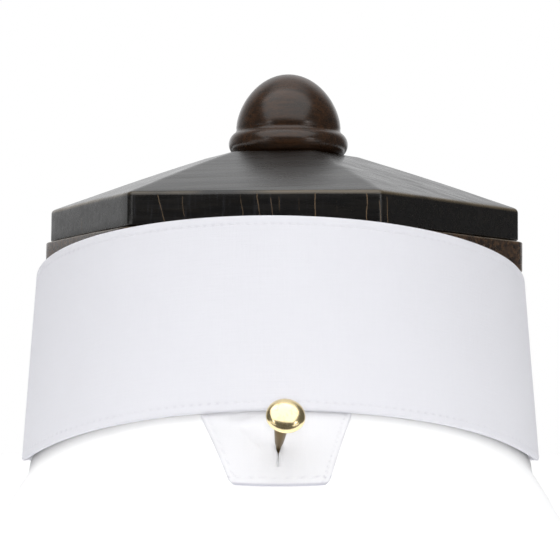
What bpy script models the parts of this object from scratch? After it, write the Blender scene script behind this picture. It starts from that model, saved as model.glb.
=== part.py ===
"""A detachable standing shirt collar on a short neck form with a six-sided wooden cap.

Metres, +Z up, the origin on the floor under the middle of the form's round base.
The back of the collar faces -Y, and the neck leans towards +Y as it rises.
"""
import math
from collections import namedtuple

import bmesh
import bpy
from mathutils import Matrix, Vector

MM = 0.001
SEAM_GAP = 0.3 * MM
MERGE_DISTANCE = 0.001 * MM
FULL_TURN = 2 * math.pi

# Collar band: one strip that closes round the neck, its lower rim in a leaning plane
NECK_LEAN = math.radians(18.7)
RIM_CENTRE = Vector((0, 5.0, 31.9)) * MM
BAND_LOWER_RADIUS = 64.9 * MM
BAND_UPPER_RADIUS = 62.4 * MM
BAND_FLATTENING = 1.35 * MM
BAND_WALL = 1.2 * MM
BAND_BACK_HEIGHT = 48.4 * MM
BAND_FRONT_HEIGHT = 55.2 * MM
BAND_RIGHT_DROP = 0.8 * MM
SHOULDER_RISE = 8.0 * MM
SHOULDER_RISE_AT = math.radians(105)
SHOULDER_RISE_SPREAD = math.radians(22)
BAND_OVERLAP = 24 * MM
BAND_END_CORNER = 7 * MM
OVERLAP_STEP = BAND_WALL + 0.4 * MM
OVERLAP_STEP_FROM = math.radians(135)
OVERLAP_STEP_TO = math.radians(163)
BAND_SEGMENTS = 104
BAND_ROWS = 5
CORNER_STEPS = 4
CORNER_START = 0.25
EDGE_STEPS = 4

# Back tab: sewn inside the lower edge, its outline measured down from the rim
TAB_WALL = 1.2 * MM
TAB_TUCK = 8 * MM
TAB_LENGTH = 19 * MM
TAB_TOP_HALF = 16.7 * MM
TAB_BOTTOM_HALF = 10.7 * MM
TAB_TOP_CENTRE = -1.0 * MM
TAB_BOTTOM_CENTRE = -0.2 * MM
TAB_CORNER = 1.4 * MM
TAB_STAND_OFF = 1.9 * MM
TAB_TO_BAND = 0.35 * MM
TAB_EASE = 5 * MM
TAB_COLUMNS = 16
TAB_ROWS = 12
SURVEY_STEP = 0.1 * MM
SURVEY_REACH = 40 * MM

# Studs: the head is a dome on a rim, the post tapers to a small flat base
STUD_HEAD_RADIUS = 4.45 * MM
STUD_HEAD_DOME = 1.9 * MM
STUD_RIM = 0.5 * MM
STUD_NECK_RADIUS = 1.5 * MM
STUD_NECK_LENGTH = 1.7 * MM
STUD_POST_RADIUS = 1.15 * MM
STUD_TIP_RADIUS = 0.7 * MM
STUD_BASE_RADIUS = 3.2 * MM
STUD_BASE_THICK = 0.7 * MM
STUD_SEGMENTS = 20
STUD_DOME_RADIUS = 4.3 * MM
DOME_STEPS = 5
BACK_STUD_DROP = 10.4 * MM
BACK_STUD_SIDE = 0.1 * MM
BACK_STUD_LENGTH = 13.7 * MM
BACK_STUD_RISE = math.radians(36)
BACK_STUD_TURN = math.radians(5.5)
FRONT_STUD_HEIGHT = 16 * MM
FRONT_STUD_LENGTH = 4.4 * MM
FRONT_BASE_CLEAR = 0.5 * MM
BUTTONHOLE_HALF = 5 * MM
BUTTONHOLE_POST_HALF = 1.45 * MM
BUTTONHOLE_END_HALF = 0.25 * MM
BUTTONHOLE_CUT = 4 * MM

# Neck form: back and front points of its sections, and how much wider than round they are
FORM_SEAM_HEIGHT = 3 * MM
FORM_SEAM_GAP = 0.42 * MM
FORM_BACK_CLEAR = 3.0 * MM
FORM_FRONT_CLEAR = 0.6 * MM
FORM_SIDE_OUT = 2.3 * MM
NECK_TOP_RADIUS = 53 * MM
NECK_EDGE = 6 * MM
NECK_EDGE_STEPS = 4
NECK_BACK_WAIST = 0.9 * MM
NECK_FRONT_WAIST = 3.6 * MM
BASE_RADIUS = 90 * MM
BASE_EDGE = 2.2 * MM
BASE_CHAMFER = 0.8 * MM
FORM_SEGMENTS = 60
NECK_RINGS = 7
SHOULDER_RINGS = 12

# Wooden cap: two six-sided boards that lean and roll a little, and a turned finial
CAP_LEAN = math.radians(3.5)
CAP_ROLL = math.radians(0.4)
CAP_TURN = math.radians(7.3)
CAP_CENTRE = Vector((0.4, 26.0, 92.0)) * MM
CAP_RADIUS = 61.1 * MM
CAP_SIDE = 8.1 * MM
CAP_PITCH = math.radians(20.8)
BOARD_RADIUS = CAP_RADIUS * 1.014
BOARD_THICK = 7.8 * MM
ROOF_FLAT_RADIUS = 19.7 * MM
WOOD_CORNER = 2.2 * MM
WOOD_ARRIS = 0.9 * MM
CORNER_POINTS = 3
FINIAL_SHIFT = 1.45 * MM
FINIAL_RING_RADIUS = 15.4 * MM
FINIAL_RING_TUBE = 3.4 * MM
FINIAL_RING_FROM = math.radians(-62)
FINIAL_RING_TO = math.radians(70)
FINIAL_GROOVE_RADIUS = 13.6 * MM
FINIAL_GROOVE_HEIGHT = 7.6 * MM
FINIAL_HEIGHT = 21.3 * MM
FINIAL_OGIVE = 1.68
FINIAL_SEGMENTS = 32
FINIAL_STEPS = 8

Profile = namedtuple("Profile", "name back_y back_z front_y front_z side_drop side_out")
FORM_PROFILES = [
    Profile("tab middle", -56.5, 43.1, 67.2, 9.3, 0, 2.6),
    Profile("tab end", -61.8, 35.1, 71.2, 7.8, 0, 1.8),
    Profile("slope", -70.4, 24.4, 77.2, 6.6, 0, 0.8),
    Profile("foot", -79.8, 14.3, 83.6, 5.8, 0, 0.2),
    Profile("base edge", -87.8, 6.0, 87.8, 5.4, 0, 0),
]

COLLAR_FRAME = Matrix.Translation(RIM_CENTRE) @ Matrix.Rotation(-NECK_LEAN, 4, "X")
CAP_FRAME = (
    Matrix.Translation(CAP_CENTRE)
    @ Matrix.Rotation(CAP_ROLL, 4, "Y")
    @ Matrix.Rotation(-CAP_LEAN, 4, "X")
)


def clear_scene():
    for old in list(bpy.data.objects):
        bpy.data.objects.remove(old, do_unlink=True)


def make_material(name, colour, roughness, metallic=0.0):
    material = bpy.data.materials.new(name)
    material.use_nodes = True
    shader = material.node_tree.nodes["Principled BSDF"]
    shader.inputs["Base Color"].default_value = (*colour, 1)
    shader.inputs["Roughness"].default_value = roughness
    shader.inputs["Metallic"].default_value = metallic
    material.diffuse_color = (*colour, 1)
    return material


def add_object(name, mesh_data, material, smooth_angle=math.radians(40)):
    """Turns a bmesh into a named, smoothly shaded object and frees the bmesh."""
    bmesh.ops.recalc_face_normals(mesh_data, faces=mesh_data.faces)
    mesh = bpy.data.meshes.new(name)
    mesh_data.to_mesh(mesh)
    mesh_data.free()
    mesh.shade_smooth()
    mesh.set_sharp_from_angle(angle=smooth_angle)
    thing = bpy.data.objects.new(name, mesh)
    thing.data.materials.append(material)
    bpy.context.collection.objects.link(thing)
    return thing


def loft(rings):
    """Joins closed rings of points one after another and closes both ends flat."""
    mesh_data = bmesh.new()
    loops = [[mesh_data.verts.new(point) for point in ring] for ring in rings]
    count = len(loops[0])
    for first, second in zip(loops, loops[1:]):
        for k in range(count):
            after = (k + 1) % count
            mesh_data.faces.new((first[k], first[after], second[after], second[k]))
    mesh_data.faces.new(loops[0])
    mesh_data.faces.new(loops[-1])
    return mesh_data


def turned(profile, segments):
    """Spins a profile of (radius, height) points, which starts and ends on the axis."""
    mesh_data = bmesh.new()
    line = [mesh_data.verts.new((radius, 0, height)) for radius, height in profile]
    edges = [mesh_data.edges.new(pair) for pair in zip(line, line[1:])]
    bmesh.ops.spin(
        mesh_data,
        geom=line + edges,
        cent=(0, 0, 0),
        axis=(0, 0, 1),
        angle=FULL_TURN,
        steps=segments,
        use_merge=True,
    )
    bmesh.ops.remove_doubles(mesh_data, verts=mesh_data.verts, dist=MERGE_DISTANCE)
    return mesh_data


def smoothstep(low, high, value):
    t = min(max((value - low) / (high - low), 0), 1)
    return t * t * (3 - 2 * t)


# The collar band


def band_radius(height):
    """Radius of the band's outer face, which narrows evenly upwards."""
    mean_height = (BAND_BACK_HEIGHT + BAND_FRONT_HEIGHT) / 2
    return BAND_LOWER_RADIUS + (BAND_UPPER_RADIUS - BAND_LOWER_RADIUS) * height / mean_height


def band_top(turn):
    mean = (BAND_FRONT_HEIGHT + BAND_BACK_HEIGHT) / 2
    half = (BAND_FRONT_HEIGHT - BAND_BACK_HEIGHT) / 2
    return mean - half * math.cos(turn) - BAND_RIGHT_DROP * math.sin(turn)


def band_bottom(turn):
    """The lower edge is hollowed a little over each shoulder."""
    side = abs(math.remainder(turn, FULL_TURN))
    away = (side - SHOULDER_RISE_AT) / SHOULDER_RISE_SPREAD
    return SHOULDER_RISE * math.exp(-away * away)


def ring_point(turn, radius, height):
    """A point of the band's frame; the ring is a little shallower than it is wide."""
    depth = radius - BAND_FLATTENING
    return COLLAR_FRAME @ Vector((radius * math.sin(turn), -depth * math.cos(turn), height))


def overlap_shift(turn):
    return OVERLAP_STEP * smoothstep(OVERLAP_STEP_FROM, OVERLAP_STEP_TO, turn)


def band_section(turn, inset):
    """One upright section of the wall: outer face, rounded top, inner face, rounded foot."""
    half = BAND_WALL / 2
    low = band_bottom(turn) + inset + half
    high = band_top(turn) - inset - half
    profile = []
    for row in range(BAND_ROWS + 1):
        profile.append((half, low + (high - low) * row / BAND_ROWS))
    for step in range(1, EDGE_STEPS):
        angle = math.pi * step / EDGE_STEPS
        profile.append((half * math.cos(angle), high + half * math.sin(angle)))
    for row in range(BAND_ROWS + 1):
        profile.append((-half, high + (low - high) * row / BAND_ROWS))
    for step in range(1, EDGE_STEPS):
        angle = math.pi * step / EDGE_STEPS
        profile.append((-half * math.cos(angle), low - half * math.sin(angle)))
    shift = overlap_shift(turn)
    return [
        ring_point(turn, band_radius(height) - half + out + shift, height)
        for out, height in profile
    ]


def band_stations():
    """Turns along the strip with the inset of its rounded end corners at each."""
    reach = math.pi + BAND_OVERLAP / 2 / BAND_LOWER_RADIUS
    corner_turn = BAND_END_CORNER / BAND_LOWER_RADIUS
    start = []
    for step in range(CORNER_STEPS):
        angle = math.pi / 2 * (step + CORNER_START) / CORNER_STEPS
        turn = -reach + corner_turn * (1 - math.cos(angle))
        start.append((turn, BAND_END_CORNER * (1 - math.sin(angle))))
    inner = reach - corner_turn
    middle = [
        (-inner + 2 * inner * k / BAND_SEGMENTS, 0) for k in range(BAND_SEGMENTS + 1)
    ]
    end = [(-turn, inset) for turn, inset in reversed(start)]
    return start + middle + end


def make_band(cloth):
    rings = [band_section(turn, inset) for turn, inset in band_stations()]
    band = add_object("collar_band", loft(rings), cloth)
    cut_buttonhole(band, front_stud_frame(), across=True)
    return band


# The neck form


def world_profile(name, height, back_clear, front_clear):
    """Back and front points of a section inside the band, at a height above the rim."""
    inside = band_radius(height) - BAND_WALL
    back = ring_point(0, inside - back_clear, height)
    front = ring_point(math.pi, inside - front_clear, height)
    side = FORM_SIDE_OUT / MM
    return Profile(name, back.y / MM, back.z / MM, front.y / MM, front.z / MM, 0, side)


def cap_profile(name, depth, radius):
    """Back and front points of a section square to the cap, at a depth under the board."""
    centre = CAP_FRAME @ Vector((0, 0, -BOARD_THICK - 2 * SEAM_GAP - depth))
    centre.z += centre.x * math.tan(CAP_ROLL)
    reach = Vector((0, math.cos(CAP_LEAN), -math.sin(CAP_LEAN))) * radius
    back = centre - reach
    front = centre + reach
    drop = math.tan(CAP_ROLL) / MM
    return Profile(name, back.y / MM, back.z / MM, front.y / MM, front.z / MM, drop, 0)


def mid_profile(first, second):
    """The section half way between two others, drawn in a little on both sides."""
    return Profile(
        "mid neck",
        (first.back_y + second.back_y) / 2 + NECK_BACK_WAIST / MM,
        (first.back_z + second.back_z) / 2,
        (first.front_y + second.front_y) / 2 - NECK_FRONT_WAIST / MM,
        (first.front_z + second.front_z) / 2,
        (first.side_drop + second.side_drop) / 2,
        (first.side_out + second.side_out) / 2,
    )


def form_profiles():
    top = cap_profile("neck top", NECK_EDGE, NECK_TOP_RADIUS)
    seam = world_profile("seam", FORM_SEAM_HEIGHT, FORM_BACK_CLEAR, FORM_FRONT_CLEAR)
    rim = world_profile("rim", 0, FORM_BACK_CLEAR, FORM_FRONT_CLEAR)
    return [top, mid_profile(top, seam), seam, rim] + FORM_PROFILES


def profile_values(profile):
    return [value * MM for value in profile[1:]]


def profile_distances(profiles):
    """Mean distance down the form's surface of each profile, from the first one."""
    distances = [0.0]
    for first, second in zip(profiles, profiles[1:]):
        back = math.hypot(second.back_y - first.back_y, second.back_z - first.back_z)
        front = math.hypot(second.front_y - first.front_y, second.front_z - first.front_z)
        distances.append(distances[-1] + (back + front) / 2 * MM)
    return distances


def smooth_profile(profiles, distances, where):
    """A smooth curve through the profiles, read at one distance down the form."""
    k = 0
    while k < len(distances) - 2 and where > distances[k + 1]:
        k += 1
    step = distances[k + 1] - distances[k]
    t = (where - distances[k]) / step
    result = []
    for values in zip(*[profile_values(profile) for profile in profiles]):

        def slope(i):
            low = max(i - 1, 0)
            high = min(i + 1, len(values) - 1)
            return (values[high] - values[low]) / (distances[high] - distances[low])

        blend = (
            (2 * t**3 - 3 * t**2 + 1) * values[k]
            + (t**3 - 2 * t**2 + t) * step * slope(k)
            + (3 * t**2 - 2 * t**3) * values[k + 1]
            + (t**3 - t**2) * step * slope(k + 1)
        )
        result.append(blend)
    return result


def section_point(values, turn):
    """A point on the section whose back and front points and extra half width are given."""
    back = Vector((0, values[0], values[1]))
    front = Vector((0, values[2], values[3]))
    centre = (back + front) / 2
    reach = (front - back) / 2
    sideways = Vector((1, 0, -values[4])) * (reach.length + values[5])
    return centre - reach * math.cos(turn) + sideways * math.sin(turn)


def section_ring(values):
    return [section_point(values, FULL_TURN * k / FORM_SEGMENTS) for k in range(FORM_SEGMENTS)]


def spread(low, high, count):
    return [low + (high - low) * k / count for k in range(count + 1)]


def make_neck(cover, profiles, distances):
    """The neck block, with a rounded top edge under the cap board."""
    rings = []
    for k in range(NECK_EDGE_STEPS):
        angle = math.pi / 2 * k / NECK_EDGE_STEPS
        radius = NECK_TOP_RADIUS - NECK_EDGE * (1 - math.sin(angle))
        depth = NECK_EDGE * (1 - math.cos(angle))
        rings.append(section_ring(profile_values(cap_profile("edge", depth, radius))))
    for where in spread(0, distances[2] - FORM_SEAM_GAP / 2, NECK_RINGS):
        rings.append(section_ring(smooth_profile(profiles, distances, where)))
    return add_object("form_neck", loft(rings), cover)


def make_shoulders(cover, profiles, distances):
    """The flaring base, which ends in a low round foot with a flat underside."""
    rings = []
    for where in spread(distances[2] + FORM_SEAM_GAP / 2, distances[-1], SHOULDER_RINGS):
        rings.append(section_ring(smooth_profile(profiles, distances, where)))
    for radius, height in (
        (BASE_RADIUS - BASE_CHAMFER, BASE_EDGE + BASE_CHAMFER),
        (BASE_RADIUS, BASE_EDGE),
        (BASE_RADIUS, BASE_CHAMFER),
        (BASE_RADIUS - BASE_CHAMFER, 0),
    ):
        rings.append(section_ring([-radius, height, radius, height, 0, 0]))
    return add_object("form_shoulders", loft(rings), cover)


# The back tab


def rim_distance(profiles, distances):
    return distances[[profile.name for profile in profiles].index("rim")]


def back_distances(profiles, distances):
    """Pairs of distance down the back line from the rim, and mean distance down the form."""
    start = rim_distance(profiles, distances)
    pairs = []
    for direction in (-1, 1):
        walked = 0.0
        previous = section_point(smooth_profile(profiles, distances, start), 0)
        for k in range(1, round(SURVEY_REACH / SURVEY_STEP)):
            where = start + direction * k * SURVEY_STEP
            point = section_point(smooth_profile(profiles, distances, where), 0)
            walked += (point - previous).length
            previous = point
            pairs.append((direction * walked, where))
    pairs.append((0.0, start))
    return sorted(pairs)


def read_pairs(pairs, value):
    for (low, a), (high, b) in zip(pairs, pairs[1:]):
        if low <= value <= high:
            return a + (b - a) * (value - low) / (high - low)
    raise ValueError("the tab leaves the form")


class BackSurface:
    """The form's back as a surface: a distance down from the rim and a distance sideways."""

    def __init__(self, profiles, distances):
        self.profiles = profiles
        self.distances = distances
        self.pairs = back_distances(profiles, distances)

    def base_point(self, down, side):
        where = read_pairs(self.pairs, down)
        values = smooth_profile(self.profiles, self.distances, where)
        radius = math.hypot(values[2] - values[0], values[3] - values[1]) / 2 + values[5]
        return section_point(values, math.asin(side / radius))

    def normal(self, down, side):
        near = SURVEY_STEP * 2
        along = self.base_point(down + near, side) - self.base_point(down - near, side)
        across = self.base_point(down, side + near) - self.base_point(down, side - near)
        return across.cross(-along).normalized()

    def tab_point(self, down, side, out):
        """A point of the tab: on the form below the rim, against the band above it."""
        base = self.base_point(down, side)
        normal = self.normal(down, side)
        on_form = TAB_STAND_OFF + TAB_WALL / 2
        local = COLLAR_FRAME.inverted() @ base
        radial = Vector((local.x, local.y, 0)).normalized()
        local_normal = COLLAR_FRAME.to_3x3().inverted() @ normal
        reached = math.hypot(local.x, local.y + BAND_FLATTENING * radial.y)
        target = band_radius(local.z) - BAND_WALL - TAB_TO_BAND - TAB_WALL / 2
        on_band = (target - reached) / radial.dot(local_normal)
        below = smoothstep(0, TAB_EASE, down)
        return base + normal * (on_band + (on_form - on_band) * below + out)


def tab_half_width(down):
    t = max(down, 0) / TAB_LENGTH
    return TAB_TOP_HALF + (TAB_BOTTOM_HALF - TAB_TOP_HALF) * t


def tab_centre(down):
    t = max(down, 0) / TAB_LENGTH
    return TAB_TOP_CENTRE + (TAB_BOTTOM_CENTRE - TAB_TOP_CENTRE) * t


def tab_stations():
    """Distances down the tab with the inset of its rounded lower corners at each."""
    straight = [(down, 0) for down in spread(-TAB_TUCK, TAB_LENGTH - TAB_CORNER, TAB_ROWS)]
    corner = []
    for step in range(1, CORNER_STEPS + 1):
        angle = math.pi / 2 * step / CORNER_STEPS
        down = TAB_LENGTH - TAB_CORNER * (1 - math.sin(angle))
        corner.append((down, TAB_CORNER * (1 - math.cos(angle))))
    return straight + corner


def tab_section(surface, down, inset):
    """A level strip across the tab: its outer face one way, its inner face back."""
    half = tab_half_width(down) - inset
    sides = [tab_centre(down) + half * value for value in spread(-1, 1, TAB_COLUMNS)]
    outer = [surface.tab_point(down, side, TAB_WALL / 2) for side in sides]
    inner = [surface.tab_point(down, side, -TAB_WALL / 2) for side in reversed(sides)]
    return outer + inner


def make_tab(cloth, surface):
    rings = [tab_section(surface, down, inset) for down, inset in tab_stations()]
    tab = add_object("collar_tab", loft(rings), cloth)
    cut_buttonhole(tab, back_stud_frame(surface), across=False)
    return tab


def cut_buttonhole(cloth_piece, frame, across):
    """Cuts a slit that is open round the post and narrows to both of its ends."""
    outline = [
        (-BUTTONHOLE_HALF, BUTTONHOLE_END_HALF),
        (-BUTTONHOLE_POST_HALF, BUTTONHOLE_POST_HALF),
        (BUTTONHOLE_POST_HALF, BUTTONHOLE_POST_HALF),
        (BUTTONHOLE_HALF, BUTTONHOLE_END_HALF),
        (BUTTONHOLE_HALF, -BUTTONHOLE_END_HALF),
        (BUTTONHOLE_POST_HALF, -BUTTONHOLE_POST_HALF),
        (-BUTTONHOLE_POST_HALF, -BUTTONHOLE_POST_HALF),
        (-BUTTONHOLE_HALF, -BUTTONHOLE_END_HALF),
    ]
    if not across:
        outline = [(y, x) for x, y in outline]
    depths = (-BUTTONHOLE_CUT, BUTTONHOLE_CUT)
    mesh_data = loft([[(x, y, depth) for x, y in outline] for depth in depths])
    mesh_data.transform(frame)
    cutter = add_object(f"{cloth_piece.name}_slit_cutter", mesh_data, cloth_piece.active_material)
    cutter.hide_render = True
    cutter.display_type = "WIRE"
    cut = cloth_piece.modifiers.new("buttonhole", "BOOLEAN")
    cut.operation = "DIFFERENCE"
    cut.object = cutter


# The studs


def frame_along(origin, direction):
    """A frame whose Z runs along a direction, with its X level."""
    z_axis = direction.normalized()
    x_axis = Vector((0, 0, 1)).cross(z_axis).normalized()
    y_axis = z_axis.cross(x_axis)
    rotation = Matrix((x_axis, y_axis, z_axis)).transposed().to_4x4()
    return Matrix.Translation(origin) @ rotation


def back_stud_frame(surface):
    """Origin in the middle of the tab's wall, Z out along the stud."""
    origin = surface.tab_point(BACK_STUD_DROP, BACK_STUD_SIDE, 0)
    level = math.cos(BACK_STUD_RISE)
    direction = Vector((
        level * math.sin(BACK_STUD_TURN),
        -level * math.cos(BACK_STUD_TURN),
        math.sin(BACK_STUD_RISE),
    ))
    return frame_along(origin, direction)


def front_stud_frame():
    """Origin in the middle of the overlapped layers, Z out along the stud."""
    radius = band_radius(FRONT_STUD_HEIGHT) - BAND_WALL / 2 + OVERLAP_STEP / 2
    origin = ring_point(math.pi, radius, FRONT_STUD_HEIGHT)
    direction = COLLAR_FRAME.to_3x3() @ Vector((0, 1, 0))
    return frame_along(origin, direction)


def stud_profile(base_depth, length):
    """Turned outline from the base's middle up to the crown of the dome."""
    base = -base_depth
    under = length - STUD_RIM
    profile = [
        (0, base - STUD_BASE_THICK),
        (STUD_BASE_RADIUS, base - STUD_BASE_THICK),
        (STUD_BASE_RADIUS, base),
        (STUD_TIP_RADIUS, base),
        (STUD_POST_RADIUS, under - STUD_NECK_LENGTH),
        (STUD_NECK_RADIUS, under - STUD_NECK_LENGTH),
        (STUD_NECK_RADIUS, under),
        (STUD_HEAD_RADIUS - STUD_RIM, under),
        (STUD_HEAD_RADIUS, under + STUD_RIM / 2),
    ]
    for step in range(DOME_STEPS + 1):
        angle = math.pi / 2 * step / DOME_STEPS
        radius = STUD_DOME_RADIUS * math.cos(angle)
        height = length + STUD_HEAD_DOME * math.sin(angle)
        profile.append((max(radius, 0), height))
    return profile


def make_stud(name, brass, frame, base_depth, length):
    mesh_data = turned(stud_profile(base_depth, length), STUD_SEGMENTS)
    mesh_data.transform(frame)
    return add_object(name, mesh_data, brass)


# The wooden cap


def hexagon(radius, height):
    """Six straight sides with rounded corners, one face turned slightly off the back."""
    points = []
    corner_depth = radius - WOOD_CORNER / math.cos(math.pi / 6)
    for corner in range(6):
        middle = math.pi / 6 + corner * math.pi / 3 - CAP_TURN
        centre = Vector((math.sin(middle), -math.cos(middle))) * corner_depth
        for step in range(CORNER_POINTS):
            angle = middle + math.pi / 3 * (step / (CORNER_POINTS - 1) - 0.5)
            out = Vector((math.sin(angle), -math.cos(angle))) * WOOD_CORNER
            points.append(Vector((*(centre + out), height)))
    return points


def soften(thing, width, angle):
    bevel = thing.modifiers.new("worn arris", "BEVEL")
    bevel.width = width
    bevel.segments = 2
    bevel.limit_method = "ANGLE"
    bevel.angle_limit = angle


def make_board(wood):
    rings = [hexagon(BOARD_RADIUS, -SEAM_GAP - BOARD_THICK), hexagon(BOARD_RADIUS, -SEAM_GAP)]
    mesh_data = loft(rings)
    mesh_data.transform(CAP_FRAME)
    board = add_object("cap_board", mesh_data, wood)
    soften(board, WOOD_ARRIS, math.radians(60))
    return board


def roof_height(radius):
    """Height of the roof's faces over the cap's underside, by circumscribed radius."""
    fall = (CAP_RADIUS - radius) * math.cos(math.pi / 6)
    return CAP_SIDE + fall * math.tan(CAP_PITCH)


def make_roof(wood):
    flat = roof_height(ROOF_FLAT_RADIUS)
    rings = [hexagon(CAP_RADIUS, 0), hexagon(CAP_RADIUS, CAP_SIDE), hexagon(ROOF_FLAT_RADIUS, flat)]
    mesh_data = loft(rings)
    mesh_data.transform(CAP_FRAME)
    roof = add_object("cap_roof", mesh_data, wood, math.radians(12))
    soften(roof, WOOD_ARRIS, math.radians(45))
    return roof


def make_finial(wood):
    """A half-round ring, a groove and a slightly pointed dome, turned in one piece."""
    tube_centre = FINIAL_RING_RADIUS - FINIAL_RING_TUBE
    profile = [(0, 0), (tube_centre + FINIAL_RING_TUBE * math.cos(FINIAL_RING_FROM) / 2, 0)]
    for step in range(1, FINIAL_STEPS):
        sweep = FINIAL_RING_TO - FINIAL_RING_FROM
        angle = FINIAL_RING_FROM + sweep * step / FINIAL_STEPS
        radius = tube_centre + FINIAL_RING_TUBE * math.cos(angle)
        profile.append((radius, FINIAL_RING_TUBE * (1 + math.sin(angle))))
    dome = FINIAL_HEIGHT - FINIAL_GROOVE_HEIGHT
    for step in range(FINIAL_STEPS + 1):
        t = math.sin(math.pi / 2 * step / FINIAL_STEPS)
        radius = FINIAL_GROOVE_RADIUS * math.sqrt(max(1 - t**FINIAL_OGIVE, 0))
        profile.append((radius, FINIAL_GROOVE_HEIGHT + dome * t))
    mesh_data = turned(profile, FINIAL_SEGMENTS)
    mesh_data.transform(
        CAP_FRAME
        @ Matrix.Translation((FINIAL_SHIFT, 0, roof_height(ROOF_FLAT_RADIUS) + SEAM_GAP))
    )
    return add_object("cap_finial", mesh_data, wood, math.radians(50))


def main():
    clear_scene()
    cloth = make_material("white_cotton", (0.80, 0.80, 0.83), 0.85)
    cover = make_material("form_cover", (0.86, 0.85, 0.83), 0.9)
    wood = make_material("stained_wood", (0.045, 0.032, 0.026), 0.4)
    brass = make_material("brass", (0.78, 0.60, 0.27), 0.2, 1.0)
    profiles = form_profiles()
    distances = profile_distances(profiles)
    surface = BackSurface(profiles, distances)
    make_band(cloth)
    make_tab(cloth, surface)
    base_depth = TAB_WALL / 2 + SEAM_GAP + STUD_BASE_RADIUS * math.sin(BACK_STUD_TURN)
    stud_frame = back_stud_frame(surface)
    make_stud("back_stud", brass, stud_frame, base_depth, BACK_STUD_LENGTH)
    front_depth = OVERLAP_STEP / 2 + BAND_WALL / 2 + FRONT_BASE_CLEAR
    make_stud("front_stud", brass, front_stud_frame(), front_depth, FRONT_STUD_LENGTH)
    make_neck(cover, profiles, distances)
    make_shoulders(cover, profiles, distances)
    make_board(wood)
    make_roof(wood)
    make_finial(wood)


main()
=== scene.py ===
# %% [markdown]
# # A detachable collar on a wooden-capped neck form
#
# This lesson dresses a plain, measured model of a stand-up shirt collar. The model comes packed
# as solids, and the script gives each one the finish of the real thing: starched cotton with its
# sewing, polished brass studs, dark stained wood and a smooth cloth-covered neck. Lengths are in
# metres, so sizes are written as a number times MM.

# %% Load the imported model
import math

import bmesh
import bpy
import numpy as np
from mathutils import Euler, Matrix, Vector, noise


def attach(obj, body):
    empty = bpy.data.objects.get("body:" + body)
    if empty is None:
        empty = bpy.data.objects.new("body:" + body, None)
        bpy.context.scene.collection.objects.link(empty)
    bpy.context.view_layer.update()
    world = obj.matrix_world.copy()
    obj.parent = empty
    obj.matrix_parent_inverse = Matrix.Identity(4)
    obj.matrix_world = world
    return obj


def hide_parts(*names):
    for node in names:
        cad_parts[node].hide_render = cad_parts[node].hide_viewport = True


MM = 0.001
FULL_TURN = 2 * math.pi

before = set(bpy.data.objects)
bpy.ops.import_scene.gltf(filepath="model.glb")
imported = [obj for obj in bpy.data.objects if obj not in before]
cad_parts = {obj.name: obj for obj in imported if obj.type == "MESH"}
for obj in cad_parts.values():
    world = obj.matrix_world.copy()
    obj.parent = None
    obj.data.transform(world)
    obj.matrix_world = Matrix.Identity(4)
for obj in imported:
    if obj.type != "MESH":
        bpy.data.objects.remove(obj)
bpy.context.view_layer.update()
print("solids:", sorted(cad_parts))

# %% [markdown]
# ## Writing materials as sums
#
# A Blender material is a sheet of nodes joined by links, which is slow to read when it is written
# one link at a time. Two small classes make it read like arithmetic. `Wire` is the end of a link:
# adding or multiplying two wires adds the Math node that does it. `Finish` is one material, and its
# `node` method makes every other kind of node: it sets the node's options first and then fills its
# sockets, with plain values or with wires.

# %% A wire that can be added and multiplied
class Wire:
    def __init__(self, finish, socket):
        self.finish = finish
        self.socket = socket

    def math(self, operation, *values):
        sockets = dict(enumerate(values))
        return self.finish.node("ShaderNodeMath", {"operation": operation}, sockets)

    def __add__(self, other):
        return self.math("ADD", self, other)

    def __sub__(self, other):
        return self.math("SUBTRACT", self, other)

    def __rsub__(self, other):
        return self.math("SUBTRACT", other, self)

    def __mul__(self, other):
        return self.math("MULTIPLY", self, other)

    def __truediv__(self, other):
        return self.math("DIVIDE", self, other)

    def __abs__(self):
        return self.math("ABSOLUTE", self)

    __radd__ = __add__
    __rmul__ = __mul__

    def ease(self, low, high):
        """0 below the first value, 1 above the second, and smooth between them."""
        settings = {"interpolation_type": "SMOOTHSTEP"}
        sockets = {"Value": self, "From Min": low, "From Max": high}
        return self.finish.node("ShaderNodeMapRange", settings, sockets)


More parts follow.
